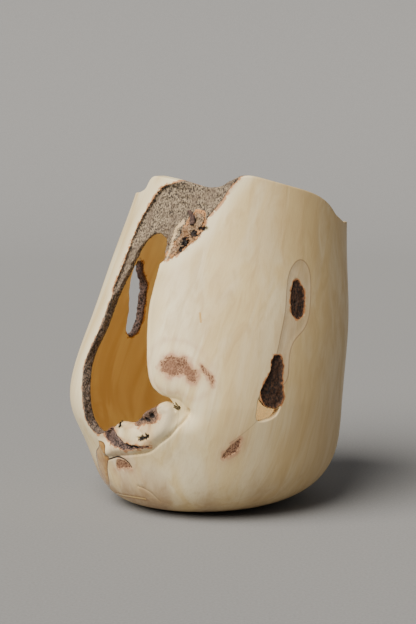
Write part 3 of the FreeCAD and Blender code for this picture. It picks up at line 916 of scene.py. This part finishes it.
def resin_material():
    g = Graph("resin", 0.13)
    swirl = g.noise((9, 9, 16), detail=3.0, roughness=0.6, distortion=1.0)
    colour = g.mix(g.step(swirl, 0.35, 0.7), (0.44, 0.22, 0.06), (0.66, 0.41, 0.15))
    edge = g.step(g.value("rim_gap"), 0.1, 1.1, 0.85, 0.0)
    colour = g.mix(edge, colour, (0.09, 0.04, 0.02))
    g.shader.inputs["Transmission Weight"].default_value = 0.12
    g.shader.inputs["IOR"].default_value = 1.52
    g.shader.inputs["Coat Weight"].default_value = 0.5
    return g.finish(colour)


def thread_material():
    g = Graph("resin_gold", 0.2)
    swirl = g.noise((2.5, 2.5, 2.5), detail=2.0)
    colour = g.mix(swirl, (0.62, 0.36, 0.08), (0.88, 0.66, 0.26))
    g.shader.inputs["Coat Weight"].default_value = 0.5
    return g.finish(colour)


MATERIALS = {
    "pale_wood": wood_material("pale_wood", CREAM, TAN, PALE),
    "collar_wood": wood_material("collar_wood", (0.68, 0.56, 0.37), (0.42, 0.29, 0.16),
                                 (0.76, 0.65, 0.46)),
    "bark": bark_material("bark", (0.036, 0.027, 0.023), (0.42, 0.325, 0.215),
                          (0.17, 0.12, 0.085), CAMBIUM, 0.35, 0.9, 0.65),
    "dark_bark": bark_material("dark_bark", (0.014, 0.010, 0.011), (0.22, 0.14, 0.115),
                               (0.10, 0.055, 0.045), (0.45, 0.22, 0.11), 0.45),
    "brown_bark": bark_material("brown_bark", (0.13, 0.055, 0.030), (0.42, 0.23, 0.13),
                                (0.28, 0.135, 0.075), (0.60, 0.36, 0.20), 0.7, 0.8),
    "knot_wood": bark_material("knot_wood", (0.007, 0.003, 0.002), (0.080, 0.034, 0.015),
                               (0.055, 0.022, 0.010), (0.28, 0.11, 0.035), 0.5, 1.2),
    "crust": bark_material("crust", (0.028, 0.018, 0.013), (0.44, 0.31, 0.19),
                           (0.42, 0.20, 0.08), (0.58, 0.27, 0.10), 1.3),
    "ledge": bark_material("ledge", (0.045, 0.025, 0.018), (0.30, 0.185, 0.12),
                           (0.17, 0.09, 0.06), (0.36, 0.17, 0.08), 0.6, 0.8),
    "resin": resin_material(),
    "resin_gold": thread_material(),
}

# --------------------------------------------------------------------------------- pieces

ROUGHNESS = {"bark": 0.55, "dark_bark": 0.7, "brown_bark": 0.22, "knot_wood": 0.4}
BARK_PIECES = ("bark_edge", "bark_crust", "bark_sill", "bark_ledge_patch", "back_void_bark")
KNOT_PIECES = ("knot_plug_upper", "knot_plug_lower")
SCAR_PIECES = ("bark_inclusion_front", "bark_inclusion_foot", "bark_crescent")
OWN_MATERIAL = {"bark_crust": "crust", "bark_ledge_patch": "ledge"}
slot_of = {part["node"]: part["material_slot"] for part in frame["record"]["subparts"]}


def declare(piece, node):
    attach(piece, "root")
    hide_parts(node)


def roughen(points, normals, gap, amount):
    """Bark-like lumps and pits, fading out where the piece meets its neighbours."""
    lumps = 0.9 * MEDIUM(points, 3.6) + 0.7 * FINE(points, 1.7) + 0.45 * PITS(points, 0.85)
    holes = -1.4 * smooth_step(COARSE(points, 2.6), 0.35, 0.75)
    height = amount * (lumps + holes) * smooth_step(gap, 0.0, 1.4)
    return points + normals * height[:, None]


def near_to(distance, width):
    """1 on or inside, falling to 0 over about this width outside."""
    return np.exp(-(np.maximum(distance, 0) / width) ** 2)


NOTCH_MIDDLE, NOTCH_REACH = (46, 71.5), 6      # painted shade deep in the notch at the opening's right corner
FARTHEST_MARK = 20


def surface_marks(points):
    """What the materials need to know about each point."""
    def gap(names):
        nearest = np.minimum.reduce([PIECES[name](points) for name in names])
        return np.clip(nearest, 0, FARTHEST_MARK)

    slide = LIP_SLIDE * lip_sink(points)
    # Cracks and the seam are dark lines of their own; the pits darken with their depth, their
    # own dark colour deepened by painted shade.
    dark = np.maximum.reduce([
        smooth_step(-lines["seam"](points, slide), -0.8, 0.0) * 0.40,
        smooth_step(-lines["foot_crack"](points), -0.8, -0.1),
        smooth_step(-lines["low_crack"](points), -0.6, 0.0) * 0.5,
        smooth_step(-lines["scar_crack"](points), -0.6, -0.1) * 0.45,
        smooth_step(-lines["void_slit"](points), -0.9, -0.4) * 0.6,
        np.minimum(pit_depth(points, slide) * 0.9, 1.0)])
    across, up, outward = local(points, OPENING[0])
    notch = ((np.abs(across - NOTCH_MIDDLE[0]) < NOTCH_REACH)
             & (np.abs(up - NOTCH_MIDDLE[1]) < NOTCH_REACH) & (outward > 0))
    # Painted shade: the notch's walls, deep in the wall, are painted near black.
    dark = np.maximum(dark, notch * smooth_step(under_skin(points), 5.5, 7.5))
    island = regions["island"](points, slide)
    roll = regions["roll"](points, slide)
    on_roll = smooth_step(-roll, 0.5, 3.0)
    fold = on_roll * smooth_step(up, 46, 50) * smooth_step(-across, -42, -34)
    fold = fold * smooth_step(island, -0.6, 0.6) * (outward > 0)
    lump = on_roll * smooth_step(across, 34, 40) * (outward > 0)
    crescent = regions["crescent"](points)
    stain = np.maximum.reduce([
        0.80 * near_to(crescent, 2.4),
        0.50 * near_to(regions["crescent_tail"](points), 2.2),
        0.35 * np.exp(-((crescent - 9.0) / 1.6) ** 2),
        0.55 * near_to(regions["foot_scar"](points), 7.0),
        0.45 * near_to(regions["front_scar"](points), 3.5),
        0.35 * near_to(regions["sill"](points, slide), 2.0),
        0.60 * near_to(lines["rim_streak"](points) - 0.8, 1.0)])
    saddle = np.minimum(PIECES["bark_edge"](points), PIECES["bark_crust"](points))
    smears = smooth_step(MEDIUM(points, (15, 15, 60)), -0.35, 0.35)
    low = smooth_step(-points[:, 2], -50, -8) * smooth_step(-points[:, 0], -60, 10)
    mottle = smooth_step(FINE(points, 2.6), -0.5, 0.5)
    # The later layers lie over the earlier ones, and together they make one tint.
    layers = (
        # Painted shade, partly the wood's own browner colour: tan towards the shaded right side.
        (TAN, 0.75 * smooth_step(points[:, 0], -10, 75)),
        # Painted shade: tan towards the bottom, where the floor shades the vessel.
        (TAN, 0.60 * smooth_step(-points[:, 2], -30, -4)),
        (LOW_STREAK, 0.85 * low * smears),
        (PALE, 0.9 * near_to(saddle - 2.0, 4.0)),
        (PINK, stain * (0.55 + 0.45 * mottle)),
        (FOLD_BROWN, 0.85 * fold * (0.5 + 0.5 * mottle)),
        (LUMP, 0.8 * lump),
        (THREAD_EDGE, 0.9 * smooth_step(-lines["thread"](points), -1.4, -0.7)),
        (GOLD, smooth_step(-lines["slit"](points), -0.8, -0.35)),
    )
    tint = np.zeros((len(points), 3))
    share = np.zeros(len(points))
    for colour, amount in layers:
        tint += (np.array(colour) - tint) * amount[:, None]
        share += (1 - share) * amount
    tint = np.column_stack([tint / np.maximum(share, 1e-3)[:, None], np.ones(len(points))])
    marks = {
        "bark_gap": gap(BARK_PIECES), "knot_gap": gap(KNOT_PIECES),
        "scar_gap": gap(SCAR_PIECES), "collar_gap": np.abs(regions["collar"](points)),
        "bare_gap": np.clip(lines["pale_streak"](points), 0, FARTHEST_MARK),
        "lower_tone": smooth_step(-points[:, 2], -160, -95), "dark": dark,
        "inside": smooth_step(under_skin(points), 4.4, 5.8),
        "tint": tint, "tint_share": share,
    }
    return {key: np.concatenate([values, values]) for key, values in marks.items()}


def build_pieces():
    points, triangles, owner = build_wall()
    normals = wall_normal(points)
    lowered = points - normals * INLAY_DEPTH
    doubled = np.vstack([points, lowered])
    both_normals = np.vstack([normals, normals])
    marks = surface_marks(points)
    body = pocketed(triangles[owner < 0], triangles[owner >= 0], len(points))
    vessel = make_object("vessel_wood_visual", doubled, body, both_normals, marks,
                         MATERIALS["pale_wood"])
    declare(vessel, "vessel_wood")
    for number, node in enumerate(PIECES):
        patch = triangles[owner == number]
        slot = slot_of[node]
        gap = np.maximum(-PIECES[node](points), 0)
        marks["rim_gap"] = np.concatenate([gap, gap])
        amount = ROUGHNESS.get(slot, 0.0)
        top = roughen(points, normals, gap, amount) if amount else points
        piece = make_object(node + "_visual", np.vstack([top, lowered]),
                            close_patch(patch, len(points)),
                            None if amount else both_normals, marks,
                            MATERIALS[OWN_MATERIAL.get(node, slot)])
        declare(piece, node)


TWIG_RINGS, TWIG_SIDES = 12, 20
TWIG_LIFT = 1.6             # it stands proud of the bark


def build_twig():
    """The dead twig stub: bent and tapered, with a hollow tip."""
    low, high = (np.array(corner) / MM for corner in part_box("twig_stub"))
    middle = (low + high) / 2 + TWIG_LIFT * np.array([-0.47, -0.88, 0])
    axis = np.array([-0.24, 0.10, 1.0])
    axis /= np.linalg.norm(axis)
    side = np.cross(axis, (0, -1, 0))
    side /= np.linalg.norm(side)
    front = np.cross(axis, side)
    length = 0.9 * (high[2] - low[2])
    rings_of = [(t, 1.75 - 0.45 * t + 0.25 * math.sin(5 * t)) for t in
                np.linspace(0, 1, TWIG_RINGS)]
    rings_of += [(1.03, 1.05), (0.97, 0.75), (0.80, 0.5)]
    rows = []
    for t, radius in rings_of:
        bend = 0.9 * math.sin(math.pi * t)
        centre = middle + axis * length * (t - 0.5) + side * bend
        for k in range(TWIG_SIDES):
            a = 2 * math.pi * k / TWIG_SIDES
            rows.append(centre + radius * (math.cos(a) * side + math.sin(a) * front))
    points = np.array(rows)
    points += 0.16 * np.stack([MEDIUM(points + shift, 0.9) for shift in (0, 31, 67)], axis=1)
    faces = []
    for i in range(len(rings_of) - 1):
        for k in range(TWIG_SIDES):
            a, b = i * TWIG_SIDES + k, i * TWIG_SIDES + (k + 1) % TWIG_SIDES
            faces += [(a, b, b + TWIG_SIDES), (a, b + TWIG_SIDES, a + TWIG_SIDES)]
    for first, turn in ((0, -1), ((len(rings_of) - 1) * TWIG_SIDES, 1)):
        for k in range(1, TWIG_SIDES - 1):
            faces.append((first, first + k, first + k + 1)[::turn])
    # Painted shade: the rings inside the hollow tip are painted near black.
    hole = np.arange(len(points)) >= (TWIG_RINGS + 1) * TWIG_SIDES
    far = np.full(len(points), 5.0)
    marks = {"rim_gap": far, "bare_gap": far, "dark": hole * 1.0, "lower_tone": far * 0.2}
    twig = make_object("twig_stub_visual", points, np.array(faces), None, marks,
                       MATERIALS["dark_bark"])
    declare(twig, "twig_stub")


build_pieces()
build_twig()

# ---------------------------------------------------------------- floor, light and camera

LENS = 105.0
CAMERA_LIFT = 8.0           # degrees above level
CAMERA_DISTANCE = 1.092
TARGET_X, TARGET_SHARE = -0.0003, 0.572     # aimed at this share of the vessel's height
SUN_SOFTNESS = 50           # degrees
FLOOR_HALF_WIDTH = 5.0
SWEEP_START, SWEEP_RADIUS, SWEEP_TURN = 1.3, 1.2, 60    # the floor curves up behind
SWEEP_STEPS = 24


def add_camera():
    data = bpy.data.cameras.new("camera")
    data.lens = LENS
    data.sensor_width = 36.0
    camera = bpy.data.objects.new("camera", data)
    bpy.context.scene.collection.objects.link(camera)
    lift = math.radians(CAMERA_LIFT)
    target = Vector((TARGET_X, 0.0, TARGET_SHARE * cad_box[1][2]))
    camera.location = target + CAMERA_DISTANCE * Vector((0, -math.cos(lift), math.sin(lift)))
    camera.rotation_euler = (math.radians(90 - CAMERA_LIFT), 0, 0)
    bpy.context.scene.camera = camera


def add_sun(name, place, strength, softness, colour):
    data = bpy.data.lights.new(name, "SUN")
    data.angle = math.radians(softness)
    data.energy = strength
    data.color = colour
    lamp = bpy.data.objects.new(name, data)
    bpy.context.scene.collection.objects.link(lamp)
    lamp.location = place
    lamp.rotation_euler = (-Vector(place)).to_track_quat("-Z", "Y").to_euler()


def add_floor():
    """A floor that sweeps up a long way behind the vessel."""
    line = [(-FLOOR_HALF_WIDTH, 0.0), (SWEEP_START, 0.0)]
    for step in range(1, SWEEP_STEPS + 1):
        a = math.radians(SWEEP_TURN) * step / SWEEP_STEPS
        line.append((SWEEP_START + SWEEP_RADIUS * math.sin(a), SWEEP_RADIUS * (1 - math.cos(a))))
    y, z = line[-1]
    line.append((y + 1.0, z + math.tan(math.radians(SWEEP_TURN))))
    points = [(x, y, z) for y, z in line for x in (-FLOOR_HALF_WIDTH, FLOOR_HALF_WIDTH)]
    faces = [(2 * i, 2 * i + 1, 2 * i + 3, 2 * i + 2) for i in range(len(line) - 1)]
    mesh = bpy.data.meshes.new("floor")
    mesh.from_pydata(points, [], faces)
    mesh.shade_smooth()
    floor = bpy.data.objects.new("floor", mesh)
    bpy.context.scene.collection.objects.link(floor)
    g = Graph("floor", 0.95)
    cloth = g.noise((1.5, 1.5, 1.5), detail=2.0)
    mesh.materials.append(g.finish(g.mix(cloth, (0.20, 0.20, 0.205), (0.29, 0.29, 0.295))))


def light_world():
    world = bpy.data.worlds.new("world")
    bpy.context.scene.world = world
    world.use_nodes = True
    background = world.node_tree.nodes["Background"]
    background.inputs["Color"].default_value = (0.62, 0.62, 0.63, 1)
    background.inputs["Strength"].default_value = 0.27


add_camera()
add_floor()
light_world()
add_sun("key", (-0.66, -0.68, 1.0), 6.0, SUN_SOFTNESS, (1.0, 0.95, 0.855))
